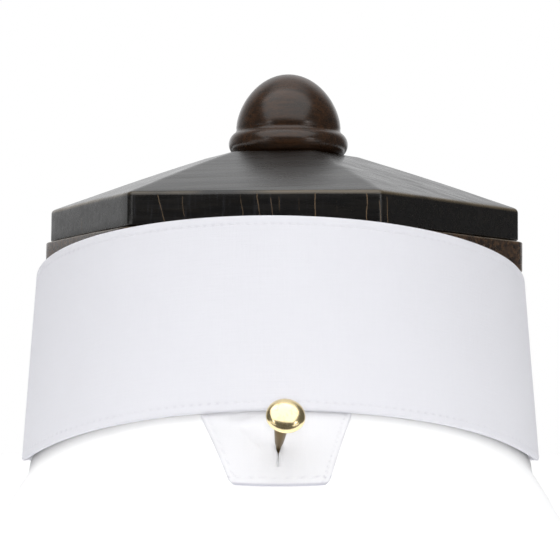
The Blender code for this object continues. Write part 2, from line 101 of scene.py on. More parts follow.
# %% A material whose nodes come from one method
class Finish:
    def __init__(self, name, constants):
        self.material = bpy.data.materials.new(name)
        self.material.use_nodes = True
        self.tree = self.material.node_tree
        self.shader = self.tree.nodes["Principled BSDF"]
        self.set(constants)

    def set(self, values):
        """Values or wires for the shader's own sockets, by name."""
        for name, value in values.items():
            self.fill(self.shader.inputs[name], value)

    def fill(self, socket, value):
        if isinstance(value, Wire):
            self.tree.links.new(value.socket, socket)
        else:
            socket.default_value = value

    def node(self, kind, settings=None, sockets=None, out=0):
        made = self.tree.nodes.new(kind)
        for name, value in (settings or {}).items():
            setattr(made, name, value)
        for name, value in (sockets or {}).items():
            self.fill(made.inputs[name], value)
        return Wire(self, made.outputs[out]) if made.outputs else None

    def place(self):
        """The point's place in the model, in metres."""
        return self.node("ShaderNodeTexCoord", out="Object")

    def own(self, attribute, out="Fac"):
        """A number or vector that the mesh carries at each of its points."""
        return self.node("ShaderNodeAttribute", {"attribute_name": attribute}, out=out)

    def stretch(self, place, per_metre):
        """A place in lengths other than metres, so that a noise can be long one way."""
        settings = {"operation": "MULTIPLY"}
        return self.node("ShaderNodeVectorMath", settings, {0: place, 1: per_metre})

    def speckle(self, place, detail=3.0, rough=0.5):
        """Soft random spots about one unit wide, from 0 to 1."""
        sockets = {"Vector": place, "Scale": 1.0, "Detail": detail, "Roughness": rough}
        return self.node("ShaderNodeTexNoise", None, sockets)

    def blend(self, mask, under, over, way="MIX"):
        """One colour over another where the mask is 1."""
        settings = {"data_type": "RGBA", "blend_type": way}
        return self.node("ShaderNodeMix", settings, {0: mask, 6: under, 7: over}, out=2)

    def bump(self, height, distance, strength=1.0):
        sockets = {"Height": height, "Distance": distance, "Strength": strength}
        return self.node("ShaderNodeBump", None, sockets)


# %% [markdown]
# ## Cotton
#
# The collar is fine plain-woven cotton, starched and pressed, so it is matt with only a little
# sheen. One thread is about a quarter of a millimetre, which is finer than a picture of the whole
# collar can show. What does show is that threads are uneven: a thick one makes a faint line along
# the cloth or across it. Two noises stretched along the two thread directions give those lines. The
# cloth's meshes carry their own flat map, called `flat`, which says where each point lay on the
# cutting table, so the threads follow the strip round the neck. A second value that each point
# carries is painted shade: it darkens the cloth's colour at the needle holes and along its edges.

# %% Make the cotton
COTTON = (0.80, 0.80, 0.845, 1)
COTTON_SHADE = (0.50, 0.49, 0.56, 1)
THREAD_PITCH = 0.26 * MM
SLUB_LENGTH = 9 * MM
SLUB_WIDTH = 0.45 * MM


def make_cotton(name, colour, weave_depth):
    cotton = Finish(name, {"Roughness": 0.88, "Sheen Weight": 0.12, "Sheen Roughness": 0.6})
    flat = cotton.own("flat", out="Vector")
    along = cotton.stretch(flat, (1 / SLUB_LENGTH, 1 / SLUB_WIDTH, 0))
    across = cotton.stretch(flat, (1 / SLUB_WIDTH, 1 / SLUB_LENGTH, 0))
    slubs = cotton.speckle(along) + cotton.speckle(across) - 1
    cloud = cotton.speckle(cotton.stretch(flat, (60, 60, 0)), 2.0)
    threads = cotton.stretch(flat, (1 / THREAD_PITCH, 1 / THREAD_PITCH, 0))
    waves = {"Vector": threads, "Scale": 0.5}
    check = cotton.node("ShaderNodeTexWave", {"bands_direction": "X"}, waves)
    check = check + cotton.node("ShaderNodeTexWave", {"bands_direction": "Y"}, waves)
    # The cloth's colour darkens with its slubs and clouds, and with the painted shade each point
    # carries at needle holes and edges.
    shade = slubs * 0.10 + (cloud - 0.5) * 0.06 + cotton.own("wear_and_shade")
    tone = cotton.blend(shade.ease(-0.12, 1.0), colour, COTTON_SHADE)
    relief = slubs + check * 0.5
    cotton.set({"Base Color": tone, "Normal": cotton.bump(relief, weave_depth)})
    return cotton.material


band_cotton = make_cotton("band_cotton", COTTON, 0.05 * MM)
tab_cotton = make_cotton("tab_cotton", (0.88, 0.88, 0.905, 1), 0.05 * MM)
thread_cotton = make_cotton("sewing_thread", (0.80, 0.80, 0.84, 1), 0.02 * MM)
print("cotton materials:", band_cotton.name, tab_cotton.name, thread_cotton.name)

# %% [markdown]
# ## Cloth as two faces
#
# A sewn band is two plies with a stiff one between them. It is made here as one shell: a grid of
# points for its outer face, a grid for its inner face, and walls that join them. `Shell` does the
# joining once for every cloth piece. A buttonhole is a place where two neighbouring lines of the
# grid are pulled apart. No cloth is laid between those two lines, and a wall is added where they
# stand open. Where they touch, the doubled points are merged and the cloth is whole again.

# %% Build a shell from two grids
class Shell:
    def __init__(self, name, lines, slit_line, slit_open):
        """lines[i][j] is (outer point, inner point, flat place, painted shade); the slit lies after
        j.
        """
        self.bm = bmesh.new()
        self.name = name
        self.slit_line = slit_line
        self.slit_open = slit_open
        self.flat = self.bm.verts.layers.float_vector.new("flat")
        self.wear_and_shade = self.bm.verts.layers.float.new("wear_and_shade")
        self.outer = [[self.point(p[0], p[2], p[3]) for p in line] for line in lines]
        self.inner = [[self.point(p[1], p[2], p[3]) for p in line] for line in lines]
        self.lay_faces()
        self.wall_slit()

    def point(self, place, flat, wear_and_shade):
        vert = self.bm.verts.new(place)
        vert[self.flat] = Vector((*flat, 0))
        vert[self.wear_and_shade] = wear_and_shade
        return vert

    def lay_faces(self):
        for i in range(len(self.outer) - 1):
            for j in range(len(self.outer[0]) - 1):
                if j == self.slit_line:
                    continue
                a, b = self.outer[i], self.outer[i + 1]
                self.bm.faces.new((a[j], b[j], b[j + 1], a[j + 1]))
                a, b = self.inner[i], self.inner[i + 1]
                self.bm.faces.new((a[j], a[j + 1], b[j + 1], b[j]))

    def wall_slit(self):
        for i in range(len(self.outer) - 1):
            if not (self.slit_open(i) or self.slit_open(i + 1)):
                continue
            for j in (self.slit_line, self.slit_line + 1):
                a, b = self.outer[i][j], self.outer[i + 1][j]
                c, d = self.inner[i + 1][j], self.inner[i][j]
                self.bm.faces.new((a, b, c, d))

    def finish(self, material, merge=0.004 * MM):
        bmesh.ops.remove_doubles(self.bm, verts=self.bm.verts, dist=merge)
        bmesh.ops.dissolve_degenerate(self.bm, edges=self.bm.edges, dist=merge / 4)
        bmesh.ops.recalc_face_normals(self.bm, faces=self.bm.faces)
        return keep(self.bm, self.name, material)


def keep(bm, name, material):
    """Turns a bmesh into a smooth object with its material, and frees the bmesh."""
    mesh = bpy.data.meshes.new(name)
    bm.to_mesh(mesh)
    bm.free()
    mesh.shade_smooth()
    thing = bpy.data.objects.new(name, mesh)
    thing.data.materials.append(material)
    bpy.context.collection.objects.link(thing)
    print(f"{name}: {len(mesh.polygons)} faces")
    return thing


# %% [markdown]
# ## The band's surface
#
# The band is a strip that closes round a neck. Its lower rim lies in a plane that leans with the
# neck, so the strip is drawn in a frame of its own, where a height and a turn round the neck give
# any point. The sizes are those of the solid. The strip overlaps itself at the front, and there its
# right end steps out by one wall so that the ends lie on each other.

# %% Name the band's sizes and its frame
NECK_LEAN = math.radians(18.7)
RIM_CENTRE = Vector((0, 5.0, 31.9)) * MM
BAND_FRAME = Matrix.Translation(RIM_CENTRE) @ Matrix.Rotation(-NECK_LEAN, 4, "X")
LOWER_RADIUS = 64.9 * MM
UPPER_RADIUS = 62.4 * MM
FLATTENING = 1.35 * MM
WALL = 1.2 * MM
BACK_HEIGHT = 48.4 * MM
FRONT_HEIGHT = 55.2 * MM
RIGHT_DROP = 0.8 * MM
SHOULDER_RISE = 8.0 * MM
SHOULDER_AT = math.radians(105)
SHOULDER_SPREAD = math.radians(22)
OVERLAP = 24 * MM
END_CORNER = 7 * MM
OVERLAP_STEP = 1.6 * MM
STEP_FROM = math.radians(135)
STEP_TO = math.radians(163)


def smoothstep(low, high, value):
    t = min(max((value - low) / (high - low), 0), 1)
    return t * t * (3 - 2 * t)


def band_radius(height):
    mean_height = (BACK_HEIGHT + FRONT_HEIGHT) / 2
    return LOWER_RADIUS + (UPPER_RADIUS - LOWER_RADIUS) * height / mean_height


def band_top(turn):
    mean = (FRONT_HEIGHT + BACK_HEIGHT) / 2
    half = (FRONT_HEIGHT - BACK_HEIGHT) / 2
    return mean - half * math.cos(turn) - RIGHT_DROP * math.sin(turn)


def band_bottom(turn):
    side = abs(math.remainder(turn, FULL_TURN))
    away = (side - SHOULDER_AT) / SHOULDER_SPREAD
    return SHOULDER_RISE * math.exp(-away * away)


def band_point(turn, height, out):
    """A point by its turn and height, and how far out it lies from the wall's middle."""
    shift = OVERLAP_STEP * smoothstep(STEP_FROM, STEP_TO, turn)
    radius = band_radius(height) - WALL / 2 + out + shift
    depth = radius - FLATTENING
    return BAND_FRAME @ Vector((radius * math.sin(turn), -depth * math.cos(turn), height))


print("band: about", round(FULL_TURN * LOWER_RADIUS / MM), "mm round its lower edge")

# %% [markdown]
# ## Pressed edges and a sewn line
#
# A row of sewing runs two millimetres inside the band's edges. Starch and the iron have pressed it
# nearly flush, so that it shows as a row of separate small dents, one at each needle hole. The rows
# of the grid are close together near the edges and far apart in the plain middle. The wall's half
# thickness depends only on how far a point is from the nearest edge, and where it is along the
# stitch: the cloth sinks most at the needle holes, and beyond the seam it swells a very little.
# The same distances give painted shade in the cloth's colour: darker at each needle hole and along
# every edge.

# %% Shape the wall by its distance from the edge
STITCH_PITCH = 2.1 * MM
TOP_SEAM = 2.3 * MM
BOTTOM_SEAM = 2.0 * MM
END_SEAM = 2.2 * MM
EDGE_ROUND = 0.62 * MM
SEAM_WIDTH = 0.30 * MM
SEAM_DEPTH = 0.11 * MM
RIB_HEIGHT = 0.02 * MM
BETWEEN_HOLES = 0.15
HOLE_SHADE = 0.50
HOLE_SPREAD = 11 * MM
HOLE_MEAN = 0.65
HOLE_CHANGE = 0.9
EDGE_SHADE = 0.22
EDGE_SHADE_WIDTH = 0.35 * MM
CLOTH_WAVE = 0.10 * MM
CLOTH_WAVE_LENGTH = 34 * MM


def edge_round(distance):
    """The wall's half thickness, as a share, from 0 on the edge to 1 inside its rounding."""
    t = min(max(distance / EDGE_ROUND, 0), 1)
    return math.sqrt(1 - (1 - t) ** 2)


def groove(distance, seam):
    away = (distance - seam) / SEAM_WIDTH
    return math.exp(-away * away)


def rib(distance, seam):
    return math.sin(math.pi * distance / seam) if 0 < distance < seam else 0.0


def needle(along, pitch):
    """1 at a needle hole and 0 midway between two."""
    return 0.5 + 0.5 * math.cos(FULL_TURN * along / pitch)


def sewn_half(wall, distances, along, pitch):
    """Half thickness, and painted shade at needle holes and along the edges, from the distances to
    each sewn edge.
    """
    half = wall / 2
    sunk = 0.0
    shade = 0.0
    for distance, seam in distances:
        if not seam:
            continue
        here = groove(distance, seam)
        sunk += here * (BETWEEN_HOLES + (1 - BETWEEN_HOLES) * needle(along, pitch))
        # Painted shade: each needle hole darkens the cloth's colour, some more than others.
        chance = noise.noise(Vector((along / HOLE_SPREAD, seam / MM, wall / MM)))
        uneven = HOLE_MEAN + HOLE_CHANGE * chance
        shade += here * needle(along, pitch) ** 4 * uneven
        half += RIB_HEIGHT * rib(distance, seam)
    nearest = min(distance for distance, seam in distances)
    half = (half - SEAM_DEPTH * min(sunk, 1)) * edge_round(nearest)
    # Painted shade: a darker line along every edge of the cloth.
    fold = EDGE_SHADE * math.exp(-((nearest / EDGE_SHADE_WIDTH) ** 2))
    return half, min(shade, 1) * HOLE_SHADE + fold


# %% [markdown]
# The strip's grid is laid out in millimetres along the band and up it. Columns fall four to a
# stitch, and closer together at the two ends, which are cut with rounded corners.

# %% Lay the band's grid
EDGE_STEPS = [0, 0.07, 0.2, 0.4, 0.65, 1.0, 1.35, 1.65, 1.85, 2.05, 2.3, 2.55, 2.9, 3.5, 4.5]
FIELD_ROWS = 14
BAND_LENGTH = FULL_TURN * LOWER_RADIUS + OVERLAP
FRONT_SLIT_HEIGHT = 16 * MM
SLIT_HALF = 5 * MM
POST_HALF = 1.45 * MM


def strip_columns():
    """Distances along the strip from its middle."""
    half = BAND_LENGTH / 2
    ends = [half - step * MM for step in EDGE_STEPS]
    count = round(2 * ends[-1] / (STITCH_PITCH / 4))
    middle = [ends[-1] * (2 * k / count - 1) for k in range(1, count)]
    return [-end for end in ends] + middle + ends[::-1]


def corner_inset(from_end):
    if from_end >= END_CORNER:
        return 0.0
    t = 1 - from_end / END_CORNER
    return END_CORNER * (1 - math.sqrt(1 - t * t))


def slit_half(along, reach=SLIT_HALF, post_half=POST_HALF, closed_at=SLIT_HALF, hairline=0.0):
    """Half the width of an open buttonhole at a distance along it from the post."""
    away = abs(along)
    if away > reach:
        return 0.0
    open_half = post_half * (1 - smoothstep(post_half * 0.6, closed_at, away))
    return max(open_half, hairline * (1 - (away / reach) ** 4))


def strip_heights(turn, inset):
    """Heights up the strip, with the slit's two lines one after the other."""
    low = band_bottom(turn) + inset
    high = band_top(turn) - inset
    rows = [low + step * MM for step in EDGE_STEPS]
    inner_low, inner_high = rows[-1], high - EDGE_STEPS[-1] * MM
    field = [inner_low + (inner_high - inner_low) * k / FIELD_ROWS for k in range(1, FIELD_ROWS)]
    return rows + field + [high - step * MM for step in EDGE_STEPS[::-1]]


def soft_wave(x, y, length, height):
    """The slow unevenness of pressed cloth."""
    return height * noise.noise(Vector((x / length, y / length, 3.7)))


# %% Make the band
SLIT_ROW = len(EDGE_STEPS) + 3


def band_line(along):
    turn = along / LOWER_RADIUS
    from_end = BAND_LENGTH / 2 - abs(along)
    inset = corner_inset(from_end)
    low = band_bottom(turn) + inset
    high = band_top(turn) - inset
    heights = strip_heights(turn, inset)
    from_post = abs(along) - math.pi * LOWER_RADIUS
    gap = slit_half(from_post)
    if abs(from_post) < 4 * SLIT_HALF:
        lift = FRONT_SLIT_HEIGHT - heights[SLIT_ROW]
        fade = 1 - smoothstep(SLIT_HALF, 4 * SLIT_HALF, abs(from_post))
        middle = [lift * fade * rib(k, len(heights) - 1) ** 2 for k in range(len(heights))]
        scale = max(rib(SLIT_ROW, len(heights) - 1) ** 2, 0.01)
        heights = [h + m / scale for h, m in zip(heights, middle)]
    pairs = heights[:SLIT_ROW] + [heights[SLIT_ROW] - gap, heights[SLIT_ROW] + gap]
    line = []
    for height in pairs + heights[SLIT_ROW + 1:]:
        edges = ((height - low, BOTTOM_SEAM), (high - height, TOP_SEAM), (from_end, END_SEAM))
        half, shade = sewn_half(WALL, edges, along, STITCH_PITCH)
        wave = soft_wave(along, height, CLOTH_WAVE_LENGTH, CLOTH_WAVE)
        outer = band_point(turn, height, half + wave)
        inner = band_point(turn, height, wave - half)
        line.append((outer, inner, (along, height), shade))
    return line


columns = strip_columns()
band_lines = [band_line(along) for along in columns]
slit_is_open = [slit_half(abs(along) - math.pi * LOWER_RADIUS) > 0 for along in columns]
band_shell = Shell("cotton_band", band_lines, SLIT_ROW, lambda i: slit_is_open[i])
band = band_shell.finish(band_cotton)

# %% [markdown]
# ## Sewing thread
#
# Machine sewing is short lengths of thread, each rising from one needle hole and going down the
# next. Each stitch is a thin tube that is bent down at both ends and half sunk in the cloth. All the
# stitches of a piece are one mesh, because hundreds of separate objects would be slow to handle.

# %% Sew a row of stitches
THREAD_RADIUS = 0.09 * MM
THREAD_SIDES = 6
THREAD_STEPS = 5


class Sewing:
    def __init__(self):
        self.bm = bmesh.new()
        self.flat = self.bm.verts.layers.float_vector.new("flat")
        self.count = 0

    def stitch(self, start, end, normal, hump, sink, radius=THREAD_RADIUS):
        """One thread from hole to hole, raised in the middle and sunk at both ends."""
        along = (end - start).normalized()
        side = along.cross(normal).normalized()
        rings = []
        for step in range(THREAD_STEPS):
            t = step / (THREAD_STEPS - 1)
            rise = hump * math.sin(math.pi * t) - sink * (1 - math.sin(math.pi * t))
            thin = radius * (0.55 + 0.45 * math.sin(math.pi * t))
            centre = start.lerp(end, t) + normal * rise
            rings.append([self.point(centre, side, normal, thin, k) for k in range(THREAD_SIDES)])
        for first, second in zip(rings, rings[1:]):
            for k in range(THREAD_SIDES):
                after = (k + 1) % THREAD_SIDES
                self.bm.faces.new((first[k], first[after], second[after], second[k]))
        self.bm.faces.new(rings[0][::-1])
        self.bm.faces.new(rings[-1])
        self.count += 1

    def point(self, centre, side, normal, radius, k):
        angle = FULL_TURN * k / THREAD_SIDES
        place = centre + (side * math.cos(angle) + normal * math.sin(angle)) * radius
        vert = self.bm.verts.new(place)
        vert[self.flat] = place
        return vert

    def row(self, holes, share=0.8, hump=0.0, sink=0.10 * MM):
        """Stitches between each hole and the next; a hole is its place and its normal."""
        for (a, up_a), (b, up_b) in zip(holes, holes[1:]):
            spare = (b - a) * (1 - share) / 2
            self.stitch(a + spare, b - spare, (up_a + up_b).normalized(), hump, sink)

    def finish(self, name, material):
        bmesh.ops.recalc_face_normals(self.bm, faces=self.bm.faces)
        print(f"{name}: {self.count} stitches")
        return keep(self.bm, name, material)


# %% [markdown]
# On the band one row runs round all four sides of the strip, on its outer face and on its inner
# face. Where a row meets the rounded corners it turns with them.

# %% Sew the band
def band_hole(along, height, side):
    """A needle hole's place on the outer (1) or inner (-1) face, and the way out of it."""
    turn = along / LOWER_RADIUS
    from_end = BAND_LENGTH / 2 - abs(along)
    inset = corner_inset(from_end)
    edges = (
        (height - band_bottom(turn) - inset, BOTTOM_SEAM),
        (band_top(turn) - inset - height, TOP_SEAM),
        (from_end, END_SEAM),
    )
    half, shade = sewn_half(WALL, edges, STITCH_PITCH / 2, STITCH_PITCH)
    wave = soft_wave(along, height, CLOTH_WAVE_LENGTH, CLOTH_WAVE)
    place = band_point(turn, height, wave + side * half)
    return place, (band_point(turn, height, wave + side * 2 * WALL) - place).normalized()


def long_row(seam, from_top, side):
    reach = BAND_LENGTH / 2 - END_SEAM
    count = round(2 * reach / STITCH_PITCH)
    holes = []
    for k in range(-(count // 2), count // 2 + 1):
        along = k * STITCH_PITCH
        turn = along / LOWER_RADIUS
        inset = corner_inset(BAND_LENGTH / 2 - abs(along) - END_SEAM * 0.7)
        height = band_top(turn) - inset - seam if from_top else band_bottom(turn) + inset + seam
        holes.append(band_hole(along, height, side))
    return holes


def end_row(sign, side):
    along = sign * (BAND_LENGTH / 2 - END_SEAM)
    turn = along / LOWER_RADIUS
    low = band_bottom(turn) + END_CORNER
    high = band_top(turn) - END_CORNER
    count = round((high - low) / STITCH_PITCH)
    return [band_hole(along, low + (high - low) * k / count, side) for k in range(count + 1)]


band_sewing = Sewing()
for side in (1, -1):
    band_sewing.row(long_row(TOP_SEAM, True, side))
    band_sewing.row(long_row(BOTTOM_SEAM, False, side))
    for sign in (-1, 1):
        band_sewing.row(end_row(sign, side))

# %% [markdown]
# The buttonholes at the front are bound with close stitches that lie across the edge of the slit,
# one beside the other. The same binding is used on the tab, so it is one function that asks only
# for a way to find points on the cloth.

# %% Bind a buttonhole
BINDING_WIDTH = 1.5 * MM
BINDING_PITCH = 0.30 * MM
BINDING_RADIUS = 0.15 * MM
BINDING_HUMP = 0.12 * MM
BINDING_SINK = 0.10 * MM
BINDING_CLEAR = 0.12 * MM


def bind_buttonhole(
    sewing, place, reach=SLIT_HALF, opening=slit_half, width=BINDING_WIDTH, hump=BINDING_HUMP
):
    """place(along, across) gives the cloth's surface and normal near the slit."""
    count = round(2 * reach / BINDING_PITCH)
    for k in range(count + 1):
        along = -reach + 2 * reach * k / count
        for sign in (-1, 1):
            edge = sign * (opening(along) + BINDING_CLEAR)
            inner, normal = place(along, edge)
            outer = place(along, edge + sign * width)[0]
            sewing.stitch(inner, outer, normal, hump, BINDING_SINK, BINDING_RADIUS)
    for sign in (-1, 1):
        for k in range(5):
            along = sign * (reach + BINDING_PITCH * (k + 0.5))
            left, normal = place(along, -width)
            right = place(along, width)[0]
            sewing.stitch(left, right, normal, hump, BINDING_SINK, BINDING_RADIUS)


for sign in (-1, 1):
    def on_end(along, across, sign=sign):
        return band_hole(sign * math.pi * LOWER_RADIUS + along, FRONT_SLIT_HEIGHT + across, 1)

    bind_buttonhole(band_sewing, on_end)
band_thread = band_sewing.finish("band_sewing", thread_cotton)

# %% [markdown]
# ## The back tab
#
# A small tapered tab hangs from the band at centre back and keeps a collar down on the shirt. It
# lies on the slope of the neck form, so its shape depends on what it rests on. The solid already has
# that shape. Instead of drawing it again, the script reads the solid's points, turns them into a
# distance down the tab, a distance sideways and a height off a flat plane, and fits a smooth curved
# surface through the middle of the wall with least squares.

# %% Read the tab's surface from its solid
TAB_TILT = math.radians(30.6)
TAB_OUT = Vector((0, -math.cos(TAB_TILT), math.sin(TAB_TILT)))
TAB_DOWN = Vector((0, -math.sin(TAB_TILT), -math.cos(TAB_TILT)))
TAB_SIDE = Vector((1, 0, 0))
TAB_POWERS = [(i, j) for i in range(7) for j in (0, 1, 2) if i * j < 7]

tab_solid = np.array([vert.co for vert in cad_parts["collar_tab"].data.vertices])
tab_sides = tab_solid @ np.array(TAB_SIDE)
tab_downs = tab_solid @ np.array(TAB_DOWN)
tab_outs = tab_solid @ np.array(TAB_OUT)
TAB_START = tab_downs.min()
TAB_END = tab_downs.max()
tab_length = TAB_END - TAB_START


def tab_terms(down, side):
    t = (down - TAB_START) / tab_length
    s = side / tab_length
    return [t**i * s**j for i, j in TAB_POWERS]


terms = np.array([tab_terms(down, side) for down, side in zip(tab_downs, tab_sides)])
tab_fit = np.linalg.lstsq(terms, tab_outs, rcond=None)[0]
off = np.abs(terms @ tab_fit - tab_outs)
print(f"tab: {tab_length / MM:.1f} mm long, wall's half thickness {off.mean() / MM:.2f} mm")

# %% [markdown]
# The tab's outline is a short table: how wide it is at each distance above its lower edge, measured
# on the finished tab. Its wall is made like the band's, with a row of sewing inside both sides and
# the bottom. Pressing has left two soft marks in it, and they are pushed into the surface one by
# one: a dent beside the middle just under the band, and a slanting crease that runs to the
# buttonhole.

# %% Shape the tab's outline and its creases
TAB_OUTLINE = [
    # above the lower edge, left side, right side, in mm
    (0.0, -11.3, 10.9),
    (18.6, -18.4, 16.3),
    (27.5, -18.4, 16.3),
]
TAB_CORNER = 1.3 * MM
EDGE_LOWER = 0.45 * MM
EDGE_BOW = 0.75 * MM
EDGE_BOW_HALF = 11 * MM
EDGE_FADE = 9 * MM
TAB_SEAM = 1.4 * MM
TAB_END_SEAM = 1.7 * MM
TAB_STITCH = 1.65 * MM
TAB_CREASES = [
    # across, above the lower edge, half length, half width, turn in degrees, depth: mm
    ("dent under the band", -8.4, 16.7, 3.5, 1.4, 5, 0.68),
    ("lip under the dent", -7.8, 14.2, 4.6, 1.1, 4, -0.14),
    ("slanting crease", -6.2, 10.8, 5.8, 1.25, -50, 0.80),
    ("lift beside the stud", 4.8, 9.2, 4.5, 1.6, 80, -0.30),
    ("hollow right of the stud", 2.6, 8.8, 4.0, 1.1, 84, 0.24),
    ("soft fold at the right", 9.5, 12.0, 5.0, 1.5, 60, 0.14),
]


def tab_sides_at(above):
    for (low, left_a, right_a), (high, left_b, right_b) in zip(TAB_OUTLINE, TAB_OUTLINE[1:]):
        if above <= high * MM:
            t = (above / MM - low) / (high - low)
            return (left_a + (left_b - left_a) * t) * MM, (right_a + (right_b - right_a) * t) * MM
    return TAB_OUTLINE[-1][1] * MM, TAB_OUTLINE[-1][2] * MM


def crease(side, above):
    """How far the cloth is pushed in at a point by all the creases together."""
    pushed = 0.0
    for name, across, up, half_length, half_width, turn, depth in TAB_CREASES:
        dx = side / MM - across
        dy = above / MM - up
        c, s = math.cos(math.radians(turn)), math.sin(math.radians(turn))
        u = (dx * c + dy * s) / half_length
        v = (dy * c - dx * s) / half_width
        pushed += depth * MM * math.exp(-u * u - v * v)
    return pushed


def lower_edge_reach(side, above):
    """How much lower than the solid the tab ends: its edge is bowed down in the middle."""
    bow = 1 - (side / EDGE_BOW_HALF) ** 2
    reach = EDGE_LOWER + EDGE_BOW * max(bow, 0)
    return reach * (1 - smoothstep(0, EDGE_FADE, above))


def fitted_out(down, side):
    """The fitted surface, which goes straight on below the end of the solid."""
    def fit_at(place):
        return float(np.dot(tab_terms(place, side), tab_fit))

    if down <= TAB_END:
        return fit_at(down)
    step = 1 * MM
    slope = (fit_at(TAB_END) - fit_at(TAB_END - step)) / step
    return fit_at(TAB_END) + slope * (down - TAB_END)


def tab_surface(side, above):
    """A point of the wall's middle, and the way out of the cloth there."""
    def middle(side, above):
        down = TAB_END - above + lower_edge_reach(side, above)
        out = fitted_out(down, side) - crease(side, above)
        return TAB_SIDE * side + TAB_DOWN * down + TAB_OUT * out

    step = 0.1 * MM
    here = middle(side, above)
    across = middle(side + step, above) - here
    upward = middle(side, above + step) - here
    return here, across.cross(upward).normalized()


# %% [markdown]
# The tab's grid has the slit's two lines in the middle of its columns. The post of the stud pushes
# them apart, and above and below it they close to a hairline.

# %% Lay the tab's grid and make it
TAB_STEPS = [0, 0.07, 0.2, 0.4, 0.65, 0.95, 1.2, 1.4, 1.6, 1.85, 2.2]
TAB_FIELD = [k / 9 for k in range(1, 9)]
TAB_SLIT_SIDE = -0.5 * MM
TAB_BELOW_POST = 8.7 * MM
TAB_SLIT_REACH = 4.6 * MM
LOWER_EDGE_SHADE = 0.6
TAB_BINDING_WIDTH = 0.7 * MM


def tab_slit(along):
    """The tab's hole is open at the post only; the rest of it is a hairline."""
    return slit_half(along, TAB_SLIT_REACH, 0.50 * MM, 2.2 * MM, 0.07 * MM)


def tab_edges(side, above, left, right):
    """Distances to the tab's edges, each with its seam; the tucked-in end has none."""
    return (
        (side - left, TAB_SEAM),
        (right - side, TAB_SEAM),
        (above, TAB_END_SEAM),
        (tab_length - above, 0),
    )


def tab_line(above):
    left, right = tab_sides_at(above)
    if above < TAB_CORNER:
        t = 1 - above / TAB_CORNER
        inset = TAB_CORNER * (1 - math.sqrt(1 - t * t))
        left, right = left + inset, right - inset
    gap = tab_slit(above - TAB_BELOW_POST)
    near = TAB_STEPS[-1] * MM
    sides = [left + step * MM for step in TAB_STEPS]
    sides += [left + near + (TAB_SLIT_SIDE - gap - left - near) * t for t in TAB_FIELD]
    sides += [TAB_SLIT_SIDE - gap, TAB_SLIT_SIDE + gap]
    sides += [TAB_SLIT_SIDE + gap + (right - near - TAB_SLIT_SIDE - gap) * t for t in TAB_FIELD]
    sides += [right - step * MM for step in TAB_STEPS[::-1]]
    line = []
    for side in sides:
        edges = tab_edges(side, above, left, right)
        half, shade = sewn_half(WALL, edges, above + side, TAB_STITCH)
        # Painted shadow: a dark line along the tab's lower edge.
        shade += LOWER_EDGE_SHADE * math.exp(-((above / EDGE_SHADE_WIDTH) ** 2))
        middle, out = tab_surface(side, above)
        line.append((middle + out * half, middle - out * half, (side, above), shade))
    return line


def tab_rows():
    rows = [step * MM for step in TAB_STEPS]
    last = tab_length - TAB_STEPS[-1] * MM
    count = round((last - rows[-1]) / (TAB_STITCH / 4))
    rows += [rows[-1] + (last - rows[-1]) * k / count for k in range(1, count)]
    return rows + [tab_length - step * MM for step in TAB_STEPS[::-1]]


rows = tab_rows()
tab_shell = Shell(
    "cotton_tab",
    [tab_line(above) for above in rows],
    len(TAB_STEPS) + len(TAB_FIELD),
    lambda i: tab_slit(rows[i] - TAB_BELOW_POST) > 0,
)
tab = tab_shell.finish(tab_cotton)

# %% Sew the tab
def tab_hole(side, above, face=1):
    middle, out = tab_surface(side, above)
    left, right = tab_sides_at(above)
    edges = tab_edges(side, above, left, right)
    half, shade = sewn_half(WALL, edges, TAB_STITCH / 2, TAB_STITCH)
    return middle + out * half * face, out * face


def tab_side_row(pick, inset, face):
    low, high = TAB_END_SEAM, tab_length - 6 * MM
    count = round((high - low) / TAB_STITCH)
    levels = [low + (high - low) * k / count for k in range(count + 1)]
    return [tab_hole(tab_sides_at(above)[pick] + inset, above, face) for above in levels]


tab_sewing = Sewing()
for face in (1, -1):
    tab_sewing.row(tab_side_row(0, TAB_SEAM, face))
    tab_sewing.row(tab_side_row(1, -TAB_SEAM, face))
    left, right = tab_sides_at(TAB_END_SEAM)
    count = round((right - left - 2 * TAB_SEAM) / TAB_STITCH)
    reach = [left + TAB_SEAM + (right - left - 2 * TAB_SEAM) * k / count for k in range(count + 1)]
    tab_sewing.row([tab_hole(side, TAB_END_SEAM, face) for side in reach])


def on_tab(along, across):
    return tab_hole(TAB_SLIT_SIDE + across, TAB_BELOW_POST + along)


TAB_BINDING_HUMP = -0.12 * MM
bind_buttonhole(
    tab_sewing, on_tab, TAB_SLIT_REACH, tab_slit, TAB_BINDING_WIDTH, TAB_BINDING_HUMP
)
tab_thread = tab_sewing.finish("tab_sewing", tab_cotton)

# %% [markdown]
# ## Brass studs
#
# A collar stud is turned from brass: a low polished dome with a thin rim, a short neck under it and
# a post that tapers into the cloth. Polished brass takes nearly all its look from what it mirrors,
# so the shape of the dome matters more than its colour. Below its neck the post is given a darker,
# olive colour and a rougher finish than the head. The stud is turned again here with many more steps
# than the solid. The solid's own points say where it goes: their mean lies on the stud's axis.

# %% Make the brass
brass = Finish("polished_brass", {"Metallic": 1.0, "Specular IOR Level": 0.5})
brass_place = brass.place()
tarnish = brass.speckle(brass.stretch(brass_place, (900, 900, 900)), 4.0, 0.6)
wiping = brass.speckle(brass.stretch(brass_place, (2500, 400, 2500)), 2.0)
dull = brass.own("dull")
brass_tone = brass.blend(tarnish.ease(0.45, 0.75), (0.88, 0.73, 0.43, 1), (0.80, 0.63, 0.33, 1))
brass_tone = brass.blend(dull, brass_tone, (0.18, 0.130, 0.062, 1))
brass.set({
    "Base Color": brass_tone,
    "Roughness": 0.15 + tarnish * 0.12 + dull * 0.10,
    "Normal": brass.bump(wiping + tarnish, 0.01 * MM, 0.4),
})
print("brass:", brass.material.name)

